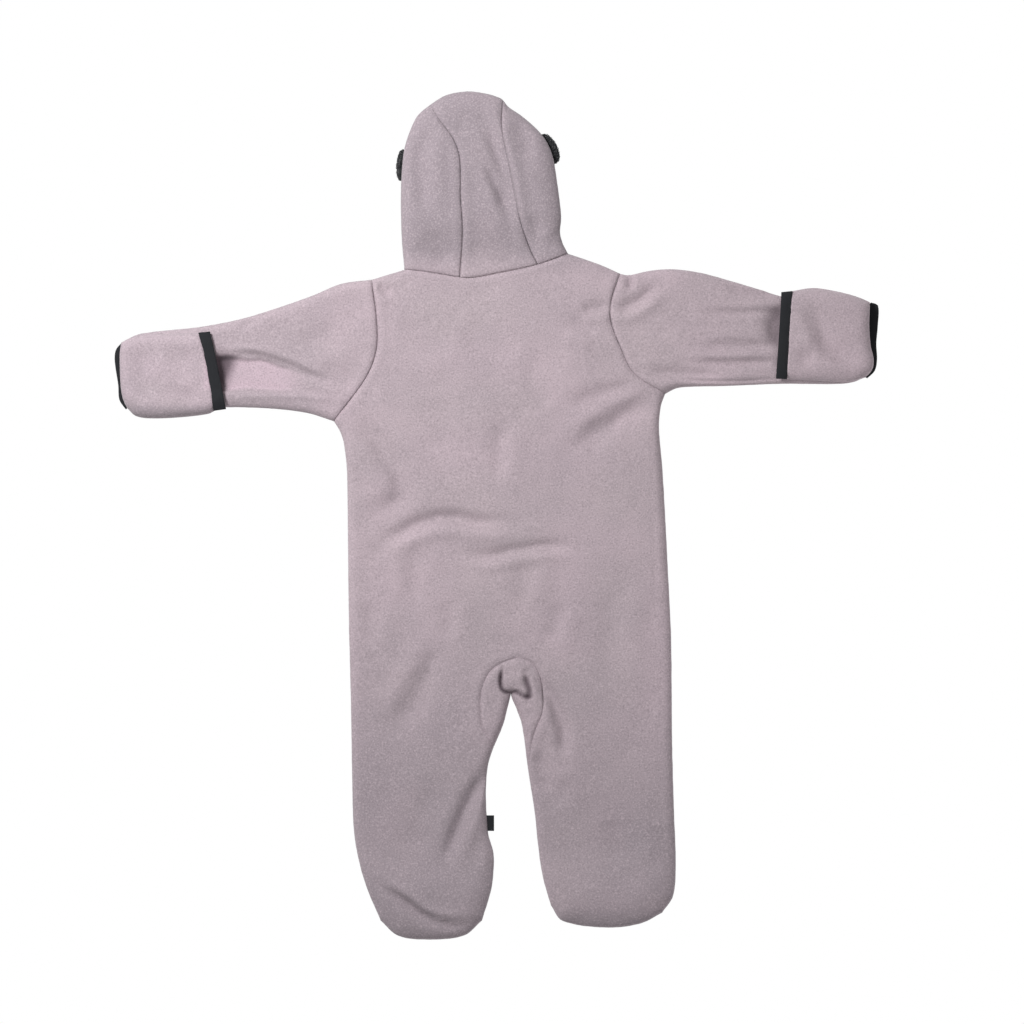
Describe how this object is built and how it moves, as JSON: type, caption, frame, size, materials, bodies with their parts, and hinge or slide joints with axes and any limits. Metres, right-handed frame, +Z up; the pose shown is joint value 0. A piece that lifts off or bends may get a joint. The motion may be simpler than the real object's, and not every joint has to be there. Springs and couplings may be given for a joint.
{
  "type": "fleece bunting suit",
  "caption": "Baby's one-piece fleece bunting suit with hood, pile ears, fold-over mitten cuffs, footed legs and a front zip, laid flat back side up.",
  "frame": {"origin": "middle of the bounding box's bottom face, on the surface that the suit lies on", "axes": "+X towards the wearer's right hand, +Y towards the hood, +Z up out of the suit's back"},
  "size_m": [0.7643, 0.846, 0.024],
  "materials": {
    "fleece": "mauve-grey polyester fleece with a short pebbled nap",
    "fleece_smooth": "smoother pinkish face of the same fleece",
    "binding": "charcoal elastic binding, finely ribbed",
    "pile": "charcoal curly pile",
    "zip": "woven charcoal zip tape with coil teeth",
    "metal": "satin grey enamelled slider and pull"
  },
  "bodies": {
    "suit": {"back": "fleece", "front_left": "fleece", "front_right": "fleece", "gusset": "fleece", "sleeve_left": "fleece", "sleeve_right": "fleece", "hood_centre": "fleece", "hood_left": "fleece", "hood_right": "fleece", "mitt_flap_left": "fleece_smooth", "mitt_flap_right": "fleece_smooth", "flap_binding_left": "binding", "flap_binding_right": "binding", "cuff_binding_left": "binding", "cuff_binding_right": "binding", "hood_binding": "binding", "zip_end_tab": "binding", "ear_left": "pile", "ear_right": "pile", "zip_tape_left": "zip", "zip_tape_right": "zip", "zip_slider": "metal"},
    "pull": {"zip_pull": "metal"}
  },
  "joints": [
    {"name": "pull_hinge", "type": "hinge", "parent": "suit", "child": "pull", "pos_m": [-0.0132, 0.2265, 0.00135], "axis": [1, 0, 0], "range_deg": [0, 180]}
  ]
}
